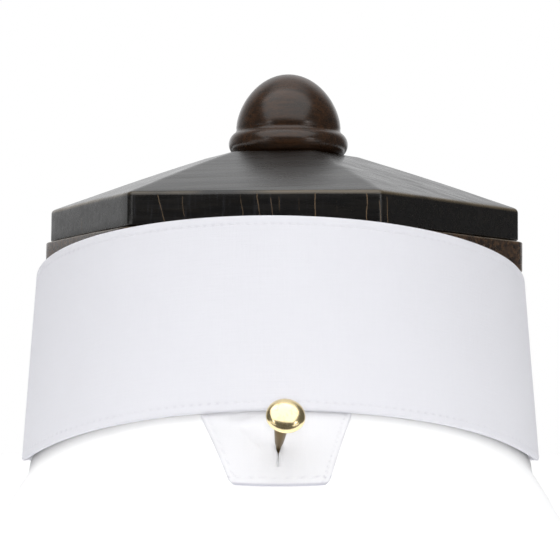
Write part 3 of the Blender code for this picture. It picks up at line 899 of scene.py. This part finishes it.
# %% Turn a stud
STUD_SEGMENTS = 72
STUD_PROFILE = [
    # radius, distance below the rim's underside (negative is above it), in mm
    ("base's edge", 3.0, 14.0),
    ("base's edge, worn", 3.2, 13.8),
    ("base's top", 3.1, 13.5),
    ("foot of the post", 0.70, 13.4),
    ("where the cloth grips", 0.50, 12.6),
    ("post, low", 1.00, 10.4),
    ("post", 1.32, 7.3),
    ("post, high", 1.56, 4.6),
    ("under the neck", 1.60, 1.95),
    ("neck's shoulder", 1.50, 1.75),
    ("neck", 1.55, 1.4),
    ("neck's top", 1.5, 0.25),
    ("fillet", 1.9, 0.05),
    ("underside", 3.9, 0.0),
    ("rim's lower edge", 4.28, -0.03),
    ("rim", 4.44, -0.14),
]
DOME_RADIUS = 4.45 * MM
DOME_HEIGHT = 2.15 * MM
DOME_FOOT = 0.24 * MM
DOME_FLATNESS = 2.6
DOME_STEPS = 20


def axis_frame(origin, direction):
    z_axis = direction.normalized()
    x_axis = Vector((0, 0, 1)).cross(z_axis).normalized()
    y_axis = z_axis.cross(x_axis)
    return Matrix.Translation(origin) @ Matrix((x_axis, y_axis, z_axis)).transposed().to_4x4()


def spin_profile(profile, segments):
    """Turns (radius, height) points, from the axis to the axis, round Z."""
    bm = bmesh.new()
    line = [bm.verts.new((radius, 0, height)) for radius, height in profile]
    edges = [bm.edges.new(pair) for pair in zip(line, line[1:])]
    bmesh.ops.spin(bm, geom=line + edges, cent=(0, 0, 0), axis=(0, 0, 1),
                   angle=FULL_TURN, steps=segments, use_merge=True)
    bmesh.ops.remove_doubles(bm, verts=bm.verts, dist=0.002 * MM)
    return bm


POST_FROM = 2.0
POST_TO = 13.0


def shorter(depth, cut):
    """A depth on a stud whose post is shorter; the neck and the base keep their sizes."""
    share = min(max((depth - POST_FROM) / (POST_TO - POST_FROM), 0), 1)
    return depth - cut * share


def turn_stud(name, node, direction, shorten, post_limit, post_left):
    """Turns the stud on the axis of its solid, with its crown where the solid's is."""
    points = [vert.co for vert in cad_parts[node].data.vertices]
    axis = direction.normalized()
    mean = sum(points, Vector()) / len(points)
    crown = max((point - mean).dot(axis) for point in points)
    under = crown - DOME_HEIGHT - DOME_FOOT
    profile = [(0.0, -(14.0 - shorten) * MM)]
    for part_name, radius, depth in STUD_PROFILE:
        if 1.0 < depth < POST_TO:
            radius = min(radius, post_limit)
        profile.append((radius * MM, -shorter(depth, shorten) * MM))
    for step in range(DOME_STEPS + 1):
        reach = math.cos(math.pi / 2 * step / DOME_STEPS)
        height = DOME_FOOT + DOME_HEIGHT * math.sqrt(1 - reach**DOME_FLATNESS)
        profile.append((max(DOME_RADIUS * reach, 0.0), height))
    bm = spin_profile(profile, STUD_SEGMENTS)
    dull_layer = bm.verts.layers.float.new("dull")
    for vert in bm.verts:
        vert[dull_layer] = smoothstep(1.0 * MM, 2.2 * MM, -vert.co.z)
        vert.co.x -= post_left * smoothstep(1.0 * MM, 4.5 * MM, -vert.co.z)
    bm.transform(axis_frame(mean + axis * under, axis))
    bmesh.ops.recalc_face_normals(bm, faces=bm.faces)
    stud = keep(bm, name, brass.material)
    stud.data.set_sharp_from_angle(angle=math.radians(50))
    return stud


STUD_RISE = math.radians(36)
STUD_TURN = math.radians(5.5)
back_axis = Vector((
    math.cos(STUD_RISE) * math.sin(STUD_TURN),
    -math.cos(STUD_RISE) * math.cos(STUD_TURN),
    math.sin(STUD_RISE),
))
front_axis = BAND_FRAME.to_3x3() @ Vector((0, 1, 0))
back_stud = turn_stud(
    "turned_back_stud", "back_stud", back_axis, shorten=0.0, post_limit=1.62, post_left=0.62 * MM
)
front_stud = turn_stud(
    "turned_front_stud", "front_stud", front_axis, shorten=7.5, post_limit=1.38, post_left=0.0
)

# %% [markdown]
# ## Stained wood
#
# The cap is turned and sawn wood under a dark stain and a rubbed polish. The stain is nearly black on
# the flat faces and lets a red-brown show on the knob and wherever hands have worn it, which is along
# the edges. Fine pale scratches run up the sawn faces. All of these depend on where a point is on
# the cap, so the material first turns a point's place into the cap's own, slightly leaning frame.

# %% Name the cap's frame and sizes
CAP_LEAN = math.radians(3.5)
CAP_ROLL = math.radians(0.4)
CAP_CENTRE = Vector((0.4, 26.0, 92.0)) * MM
CAP_SIDE = 8.1 * MM
CAP_EULER = Euler((-CAP_LEAN, CAP_ROLL, 0))


def in_cap(finish):
    """A point's place in the frame of the cap, whose Z runs up its sides."""
    settings = {"vector_type": "TEXTURE"}
    sockets = {"Vector": finish.place(), "Location": CAP_CENTRE, "Rotation": CAP_EULER}
    return finish.node("ShaderNodeMapping", settings, sockets)


def split(finish, vector, axis):
    return finish.node("ShaderNodeSeparateXYZ", None, {0: vector}, out=axis)


# %% Make the boards' wood
SCRATCH_HALF = 0.10 * MM
SCRATCHES = [
    # right of the middle at the foot, at the top, from height, to height: mm; strength
    (-28.0, -30.3, 0.0, 7.6, 0.75),
    (-23.2, -24.3, 2.4, 7.2, 0.45),
    (-9.2, -10.2, 2.2, 7.5, 0.60),
    (-5.0, -6.2, 1.5, 7.8, 0.75),
    (-2.1, -3.0, 1.4, 6.8, 0.65),
    (-0.4, -0.9, 3.4, 7.0, 0.45),
    (4.2, 3.9, 3.8, 6.6, 0.35),
    (8.1, 7.8, 1.0, 7.8, 1.00),
    (13.0, 12.9, 3.4, 5.8, 0.40),
    (20.2, 20.0, 0.4, 7.7, 1.00),
    (23.5, 22.9, 0.6, 6.0, 0.65),
    (25.2, 25.0, 0.2, 7.0, 0.80),
    (-50.5, -50.9, 1.0, 5.0, 0.30),
]


def scratches(finish, place):
    """Thin pale lines that climb the sawn front faces, each with its own row in the table."""
    x, y, z = (split(finish, place, axis) for axis in "XYZ")
    wander = (finish.speckle(finish.stretch(place, (250, 250, 250)), 2.0) - 0.5) * (0.9 * MM)
    bare = finish.speckle(finish.stretch(place, (700, 700, 330)), 2.0).ease(0.25, 0.5)
    total = 0
    for foot, top, low, high, strength in SCRATCHES:
        lean = (top - foot) / (CAP_SIDE / MM)
        away = abs(x + wander - (foot * MM + z * lean))
        line = 1 - away.ease(SCRATCH_HALF * 0.4, SCRATCH_HALF * 1.6)
        fade = 0.7 * MM
        inside = z.ease(low * MM - fade, low * MM) * (1 - z.ease(high * MM - fade, high * MM))
        total = line * inside * strength + total
    return total * bare * (0 - y).ease(0.0, 5 * MM)


# The grey below stands partly for brushed streaks in the stain and partly for a painted reflection of
# the pale surround, strongest on the cap's left side faces.
BRUSHED_AND_REFLECTION_GREY = (0.024, 0.024, 0.028, 1)
SCRATCH_TONE = (0.27, 0.175, 0.095, 1)
WORN_TONE = (0.26, 0.20, 0.12, 1)
BRUSHED_AND_REFLECTION_MOST = 0.90


def make_board_wood(name, stain, warm, warmth, scratch_share):
    wood = Finish(name, {"IOR": 1.5, "Coat Roughness": 0.2})
    place = in_cap(wood)
    grain = wood.speckle(wood.stretch(place, (55, 900, 900)), 4.0, 0.6)
    pores = wood.speckle(wood.stretch(place, (180, 3200, 3200)), 2.0, 0.6)
    streak = wood.speckle(wood.stretch(place, (14, 420, 420)), 3.0, 0.6)
    brushed = wood.speckle(wood.stretch(place, (1500, 1500, 160)), 2.0, 0.6)
    cloud = wood.speckle(wood.stretch(place, (45, 45, 45)), 3.0)
    side = 1 - split(wood, place, "Z").ease(CAP_SIDE - 0.6 * MM, CAP_SIDE)
    lines = scratches(wood, place)
    # The stain is worn thin along the arrises.
    wear_and_shade = wood.own("arris") * cloud.ease(0.3, 0.6)
    tone = wood.blend(grain.ease(0.35, 0.75) * warmth, stain, warm)
    # Painted reflection: the grey streaks on the side faces fade from the left towards the right.
    right = split(wood, place, "X").ease(-12 * MM, 24 * MM)
    painted_reflection_left = BRUSHED_AND_REFLECTION_MOST - right * BRUSHED_AND_REFLECTION_MOST
    tone = wood.blend(brushed.ease(0.5, 0.8) * side * painted_reflection_left, tone, BRUSHED_AND_REFLECTION_GREY)
    tone = wood.blend(lines * scratch_share, tone, SCRATCH_TONE)
    tone = wood.blend(wear_and_shade * 0.5, tone, WORN_TONE)
    rough = 0.27 + (cloud - 0.5) * 0.10 + (streak - 0.5) * 0.32 + (grain - 0.5) * 0.08 + lines * 0.2
    relief = grain * 0.5 + pores.ease(0.2, 0.45) * 0.2 - lines * 0.6
    wood.set({
        "Base Color": tone,
        "Roughness": rough,
        "Coat Weight": 0.08 + cloud * 0.06,
        "Normal": wood.bump(relief, 0.03 * MM),
    })
    return wood.material


roof_wood = make_board_wood(
    "roof_wood", stain=(0.0026, 0.0021, 0.0019, 1), warm=(0.011, 0.008, 0.005, 1),
    warmth=0.6, scratch_share=0.7,
)
board_wood = make_board_wood(
    "board_wood", stain=(0.020, 0.012, 0.008, 1), warm=(0.115, 0.062, 0.030, 1),
    warmth=0.9, scratch_share=0.2,
)
print("board woods:", roof_wood.name, board_wood.name)

# %% [markdown]
# The knob is redder, and its wood is flecked. It was turned with the grain running across it, so
# the flecks are short dashes along the same direction as the roof's grain.

# %% Make the knob's wood
def make_knob_wood():
    wood = Finish("knob_wood", {"IOR": 1.43, "Coat Roughness": 0.16})
    place = in_cap(wood)
    grain = wood.speckle(wood.stretch(place, (110, 700, 700)), 4.0, 0.7)
    flecks = wood.speckle(wood.stretch(place, (600, 2400, 2400)), 2.0, 0.6)
    cloud = wood.speckle(wood.stretch(place, (90, 90, 90)), 2.0)
    tone = wood.blend(grain.ease(0.25, 0.75), (0.016, 0.009, 0.005, 1), (0.062, 0.027, 0.011, 1))
    tone = wood.blend(flecks.ease(0.5, 0.75) * 0.6, tone, (0.012, 0.007, 0.005, 1))
    rough = 0.26 + (cloud - 0.5) * 0.12
    wood.set({
        "Base Color": tone,
        "Roughness": rough,
        "Coat Weight": 0.10 + (cloud - 0.5) * 0.1,
        "Normal": wood.bump(grain * 0.4 - flecks * 0.3, 0.02 * MM),
    })
    return wood.material


knob_wood = make_knob_wood()
print("knob wood:", knob_wood.name)

# %% [markdown]
# ## The boards, planed and rubbed
#
# Both boards are six-sided and the upper one rises to a low roof. A board that is sawn, planed and
# handled for years has no sharp edge, and none of its faces is dead flat. Each board is therefore a
# stack of six-sided rings, with rings close together round every arris, and all its points are
# moved a little by a slow noise. Points on an arris carry a value, `arris`, that lets the stain
# wear thin. The lower board's corners are much rounder than the roof board's.

# %% Stack six-sided rings
CAP_FRAME = Matrix.LocRotScale(CAP_CENTRE, CAP_EULER, None)
CAP_TURN = math.radians(7.3)
CAP_RADIUS = 61.1 * MM
CAP_PITCH = math.radians(20.8)
ROOF_FLAT_RADIUS = 19.7 * MM
BOARD_RADIUS = 63.1 * MM
BOARD_THICK = 7.8 * MM
SEAM_GAP = 0.3 * MM
ROOF_CORNER = 2.2 * MM
BOARD_CORNER = 8.0 * MM
WOOD_ARRIS = 0.9 * MM
LOW_ARRIS = 0.45 * MM
LOW_ARRIS_WEAR = 0.15
HALF_CORNER = math.pi / 6
SIDE_POINTS = 14
CORNER_POINTS = 6
PLANE_WAVE = 0.14 * MM
ARRIS_WAVE = 0.07 * MM


def hexagon(radius, rounding):
    """Level points round a six-sided outline with rounded corners."""
    reach = radius - rounding / math.cos(HALF_CORNER)
    corners = []
    for corner in range(6):
        middle = HALF_CORNER + corner * 2 * HALF_CORNER - CAP_TURN
        centre = Vector((math.sin(middle), -math.cos(middle))) * reach
        for step in range(CORNER_POINTS + 1):
            angle = middle + 2 * HALF_CORNER * (step / CORNER_POINTS - 0.5)
            corners.append(centre + Vector((math.sin(angle), -math.cos(angle))) * rounding)
    outline = []
    for k, point in enumerate(corners):
        outline.append(point)
        if k % (CORNER_POINTS + 1) == CORNER_POINTS:
            after = corners[(k + 1) % len(corners)]
            outline += [point.lerp(after, step / SIDE_POINTS) for step in range(1, SIDE_POINTS)]
    return outline


def bend(before, corner, after, steps=4):
    """A rounded corner in a profile, between a point before it and a point after it."""
    points = []
    for step in range(steps + 1):
        t = step / steps
        points.append(tuple(
            (1 - t) ** 2 * a + 2 * t * (1 - t) * b + t * t * c
            for a, b, c in zip(before, corner, after)
        ))
    return points


def stack_board(name, radius, rounding, profile, material):
    """profile is a list of (inset, height, arris); the first and last rings are closed."""
    bm = bmesh.new()
    arris_layer = bm.verts.layers.float.new("arris")
    rings = []
    for inset, height, arris in profile:
        ring = []
        for point in hexagon(radius - inset / math.cos(HALF_CORNER), rounding):
            place = Vector((*point, height))
            slow = noise.noise_vector(place / (30 * MM))
            quick = noise.noise_vector(place / (7 * MM))
            place += slow * PLANE_WAVE + quick * ARRIS_WAVE * (0.3 + arris)
            vert = bm.verts.new(CAP_FRAME @ place)
            vert[arris_layer] = arris
            ring.append(vert)
        rings.append(ring)
    count = len(rings[0])
    for first, second in zip(rings, rings[1:]):
        for k in range(count):
            after = (k + 1) % count
            bm.faces.new((first[k], first[after], second[after], second[k]))
    bm.faces.new(rings[0][::-1])
    bm.faces.new(rings[-1])
    bmesh.ops.recalc_face_normals(bm, faces=bm.faces)
    return keep(bm, name, material)


# %% Make the two boards
ROOF_ROWS = 16
ROOF_CROWN = 0.22 * MM


def arris_rings(before, corner, after, most=1.0):
    """The rings round an arris, with the most wear in the middle of the rounding."""
    points = bend(before, corner, after)
    wear = [0.0, 0.6, 1.0, 0.6, 0.0]
    return [(inset, height, wear_and_shade * most) for (inset, height), wear_and_shade in zip(points, wear)]


def side_rings(low, high):
    """The rings of a board's underside, its lower arris and its upright side."""
    rings = [(5 * WOOD_ARRIS, low, 0)]
    rings += arris_rings((LOW_ARRIS, low), (0, low), (0, low + LOW_ARRIS), LOW_ARRIS_WEAR)
    for k in range(1, 4):
        rings.append((0, low + (high - low) * k / 4, 0))
    return rings


def roof_rise(inset):
    flat = (CAP_RADIUS - ROOF_FLAT_RADIUS) * math.cos(HALF_CORNER)
    crown = ROOF_CROWN * math.sin(math.pi * min(inset / flat, 1))
    return CAP_SIDE + inset * math.tan(CAP_PITCH) + crown


def roof_profile():
    flat = (CAP_RADIUS - ROOF_FLAT_RADIUS) * math.cos(HALF_CORNER)
    edge = WOOD_ARRIS
    rings = side_rings(0, CAP_SIDE)
    rings += arris_rings((0, CAP_SIDE - edge), (0, CAP_SIDE), (edge, roof_rise(edge)))
    for k in range(1, ROOF_ROWS):
        inset = edge + (flat - 2 * edge) * k / ROOF_ROWS
        rings.append((inset, roof_rise(inset), 0))
    top = roof_rise(flat)
    before = (flat - edge, roof_rise(flat - edge))
    rings += [(i, h, 0) for i, h in bend(before, (flat, top), (flat + edge, top))]
    return rings + [(flat + 3 * edge, top, 0)]


def board_profile():
    low, high = -SEAM_GAP - BOARD_THICK, -SEAM_GAP
    rings = side_rings(low, high)
    rings += arris_rings((0, high - LOW_ARRIS), (0, high), (WOOD_ARRIS, high))
    return rings + [(5 * WOOD_ARRIS, high, 0)]


roof = stack_board("roof_board", CAP_RADIUS, ROOF_CORNER, roof_profile(), roof_wood)
board = stack_board("neck_board", BOARD_RADIUS, BOARD_CORNER, board_profile(), board_wood)

# %% [markdown]
# The knob is turned: a half-round ring at its foot, a cove that sweeps up from the ring, and a dome
# that comes to a very slight point. Its profile is spun round the cap's own axis.

# %% Turn the knob
FINIAL_SHIFT = 1.45 * MM
RING_RADIUS = 15.4 * MM
RING_TUBE = 3.4 * MM
RING_FROM = math.radians(-62)
RING_TO = math.radians(55)
COVE_CORNER = (13.30 * MM, 6.25 * MM)
DOME_BASE_RADIUS = 13.5 * MM
DOME_BASE = 7.25 * MM
KNOB_HEIGHT = 21.3 * MM
KNOB_OGIVE = 1.68
KNOB_STEPS = 26
KNOB_SEGMENTS = 96


def knob_profile():
    tube_centre = RING_RADIUS - RING_TUBE
    foot = tube_centre + RING_TUBE * math.cos(RING_FROM)
    profile = [(0.0, 0.0), (foot * 0.5, 0.0), (foot - 0.2 * MM, 0.0)]
    for step in range(KNOB_STEPS + 1):
        angle = RING_FROM + (RING_TO - RING_FROM) * step / KNOB_STEPS
        height = RING_TUBE * (math.sin(angle) - math.sin(RING_FROM))
        profile.append((tube_centre + RING_TUBE * math.cos(angle), height))
    profile += bend(profile[-1], COVE_CORNER, (DOME_BASE_RADIUS, DOME_BASE), 8)[1:-1]
    for step in range(KNOB_STEPS + 1):
        t = math.sin(math.pi / 2 * step / KNOB_STEPS)
        radius = DOME_BASE_RADIUS * math.sqrt(max(1 - t**KNOB_OGIVE, 0))
        profile.append((radius, DOME_BASE + (KNOB_HEIGHT - DOME_BASE) * t))
    return profile


knob_bm = spin_profile(knob_profile(), KNOB_SEGMENTS)
knob_lift = CAP_SIDE + (CAP_RADIUS - ROOF_FLAT_RADIUS) * math.cos(HALF_CORNER) * math.tan(CAP_PITCH)
knob_bm.transform(CAP_FRAME @ Matrix.Translation((FINIAL_SHIFT, 0, knob_lift + SEAM_GAP)))
bmesh.ops.recalc_face_normals(knob_bm, faces=knob_bm.faces)
knob = keep(knob_bm, "turned_knob", knob_wood)

# %% [markdown]
# ## The covered neck
#
# The neck form is a smooth hard shape under tightly drawn white cotton. No fold shows in a cover
# that is stretched this tight, so the solids keep their shape and get a clean, bright, matt cloth
# with a fine weave and the faintest cloudiness.

# %% Make the cover
def make_cover():
    cover = Finish("form_cotton", {"Roughness": 0.92, "Sheen Weight": 0.1, "Sheen Roughness": 0.5})
    place = cover.place()
    weave = cover.speckle(cover.stretch(place, (2600, 2600, 2600)), 2.0)
    cloud = cover.speckle(cover.stretch(place, (40, 40, 40)), 2.0)
    tone = cover.blend(weave * 0.25 + cloud * 0.25, (0.97, 0.97, 0.97, 1), (0.90, 0.90, 0.90, 1))
    cover.set({"Base Color": tone, "Normal": cover.bump(weave, 0.03 * MM)})
    return cover.material


form_cotton = make_cover()


def smooth_copy(name, node, material, sharp=math.radians(40)):
    """A copy of a solid with its doubled points merged, so that it can be shaded smooth."""
    bm = bmesh.new()
    bm.from_mesh(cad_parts[node].data)
    bmesh.ops.remove_doubles(bm, verts=bm.verts, dist=0.01 * MM)
    thing = keep(bm, name, material)
    thing.data.set_sharp_from_angle(angle=sharp)
    return thing


neck = smooth_copy("covered_neck", "form_neck", form_cotton)
shoulders = smooth_copy("covered_shoulders", "form_shoulders", form_cotton)

# %% [markdown]
# ## Putting the dressed pieces in place of the solids
#
# Each row lists a dressed piece, the finish it belongs to and the solids it stands for. Every piece
# is hung on the model's root body, and the solids it stands for are hidden.

# %% Join the pieces to the model
PIECES = [
    (band, "white_cotton", ["collar_band"]),
    (band_thread, "white_cotton", []),
    (tab, "white_cotton", ["collar_tab"]),
    (tab_thread, "white_cotton", []),
    (back_stud, "brass", ["back_stud"]),
    (front_stud, "brass", ["front_stud"]),
    (roof, "stained_wood", ["cap_roof"]),
    (board, "stained_wood", ["cap_board"]),
    (knob, "stained_wood", ["cap_finial"]),
    (neck, "form_cover", ["form_neck"]),
    (shoulders, "form_cover", ["form_shoulders"]),
]
for piece, slot, nodes in PIECES:
    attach(piece, "root")
    if nodes:
        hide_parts(*nodes)

print("declared", len(PIECES), "pieces")

# %% [markdown]
# ## A pale studio
#
# The light is that of a product picture on white. One large soft box hangs above and in front, two
# low strips stand left and right, and two small boxes in front give the polished parts their spots.
# The surround is bright overhead and behind, so the roof mirrors it and looks grey, and dim on the
# camera's side, so the dark wood's front faces stay dark. The paper floor glows a little, as a lit
# sweep does. The picture shows hardly any shadow on the form or the collar, so two weak lamps stand
# a little behind the camera, one for the form's cover and one for the collar's cotton. They are
# set for the camera's view: from the side the form's lit face burns out into the white ground.

# %% Lay the floor
def plane(name, corners, material):
    bm = bmesh.new()
    bm.faces.new([bm.verts.new(corner) for corner in corners])
    thing = keep(bm, name, material)
    return thing


def make_floor_finish():
    paper = Finish("white_paper", {"Roughness": 0.9, "Specular IOR Level": 0.1})
    cloud = paper.speckle(paper.stretch(paper.place(), (3, 3, 3)), 2.0)
    tone = paper.blend(cloud, (0.93, 0.93, 0.93, 1), (0.90, 0.90, 0.90, 1))
    paper.set({"Base Color": tone, "Emission Color": (1, 1, 1, 1), "Emission Strength": 0.40})
    return paper.material


FLOOR_LEFT = -0.60
FLOOR_RIGHT = 0.40
FLOOR_FRONT = -0.13
FLOOR_BACK = 0.60
plane(
    "floor",
    [(FLOOR_LEFT, FLOOR_FRONT, 0), (FLOOR_RIGHT, FLOOR_FRONT, 0),
     (FLOOR_RIGHT, FLOOR_BACK, 0), (FLOOR_LEFT, FLOOR_BACK, 0)],
    make_floor_finish(),
)

# %% Hang the soft boxes
TARGET = (0, 0, 0.07)


def soft_box(name, place, size, watts):
    """A rectangular lamp that faces the collar."""
    data = bpy.data.lights.new(name, "AREA")
    data.shape = "RECTANGLE"
    data.size, data.size_y = size
    data.energy = watts
    box = bpy.data.objects.new(name, data)
    box.location = place
    box.rotation_euler = (Vector(TARGET) - Vector(place)).to_track_quat("-Z", "Y").to_euler()
    bpy.context.collection.objects.link(box)
    return box


# name, place in metres, width and height in metres, watts
BOXES = [
    ("top_front_box", (-0.08, -0.52, 0.97), (2.00, 1.25), 13.4),
    ("left_strip", (-0.71, -0.45, 0.05), (0.60, 0.16), 0.38),
    ("right_strip", (0.62, -0.56, 0.05), (0.46, 0.16), 0.31),
    ("left_small_box", (-0.68, -0.69, 0.31), (0.20, 0.16), 0.32),
    ("right_small_box", (0.68, -0.69, 0.31), (0.20, 0.16), 0.45),
]
for name, place, size, watts in BOXES:
    soft_box(name, place, size, watts)
print("soft boxes:", len(BOXES))

# %% Fill the shadows on the cloth
FILL_PLACE = (0.0, -0.80, 0.10)
FILL_SIZE = (0.12, 0.12)


def fill_lamp(name, watts, receivers):
    """A small lamp behind the camera that lights only the pieces named."""
    lamp = soft_box(name, FILL_PLACE, FILL_SIZE, watts)
    lit = bpy.data.collections.new(name + "_receivers")
    for receiver in receivers:
        lit.objects.link(receiver)
    lamp.light_linking.receiver_collection = lit
    print(name, "lights", [receiver.name for receiver in receivers])


fill_lamp("form_fill", 4.2, (neck, shoulders))
fill_lamp("cotton_fill", 1.70, (band, tab, band_thread, tab_thread))

# %% [markdown]
# The surround is a world shader written as sums, like the other materials: a faint base, plus one
# soft term for each bright part of the room. The camera itself sees plain white.

# %% Light the surround
class Surround(Finish):
    def __init__(self):
        self.world = bpy.data.worlds.new("studio")
        self.world.use_nodes = True
        self.tree = self.world.node_tree
        self.tree.nodes.clear()


def light_surround(base, behind):
    room = Surround()
    direction = room.node("ShaderNodeTexCoord", out="Generated")
    x, y, z = (split(room, direction, axis) for axis in "XYZ")
    sides = (1 - (0 - x).ease(0.3, 0.8) * 0.63) * (1 - x.ease(0.35, 0.75))
    low_glow = 1.25 - z.ease(0.12, 0.38) * 0.37 + z.ease(0.45, 0.62) * 0.18
    backdrop = z.ease(-0.1, 0.05) * y.ease(0.25, 0.7) * sides * low_glow
    overhead = z.ease(0.78, 0.94) * y.ease(-0.35, 0.05) * (1 - y.ease(0.25, 0.7))
    strength = base + (backdrop + overhead) * behind
    paint = {"Color": (0.985, 0.99, 1, 1), "Strength": strength}
    lit = room.node("ShaderNodeBackground", None, paint)
    seen = room.node("ShaderNodeBackground", None, {"Color": (1, 1, 1, 1), "Strength": 1.0})
    camera_ray = room.node("ShaderNodeLightPath", out="Is Camera Ray")
    surface = room.node("ShaderNodeMixShader", None, {0: camera_ray, 1: lit, 2: seen})
    room.node("ShaderNodeOutputWorld", None, {"Surface": surface})
    bpy.context.scene.world = room.world


light_surround(base=0.128, behind=0.80)

# %% [markdown]
# ## The camera
#
# The picture was taken level, from behind the collar and a little above its lower edge, with a long
# lens. The frame is square.

# %% Place the camera
CAMERA_PLACE = (-0.000127, -0.685, 0.082)
FOCAL_PIXELS = 2752.3
IMAGE_PIXELS = 560
SENSOR = 36.0

camera_data = bpy.data.cameras.new("camera")
camera_data.sensor_width = SENSOR
camera_data.lens = SENSOR * FOCAL_PIXELS / IMAGE_PIXELS
camera = bpy.data.objects.new("camera", camera_data)
camera.location = CAMERA_PLACE
camera.rotation_euler = (math.radians(90), 0, 0)
bpy.context.collection.objects.link(camera)
bpy.context.scene.camera = camera

view_settings = bpy.context.scene.view_settings
view_settings.view_transform = "Standard"
view_settings.look = "None"
view_settings.exposure = 0.0
view_settings.gamma = 1.0
print(f"lens {camera_data.lens:.1f} mm")
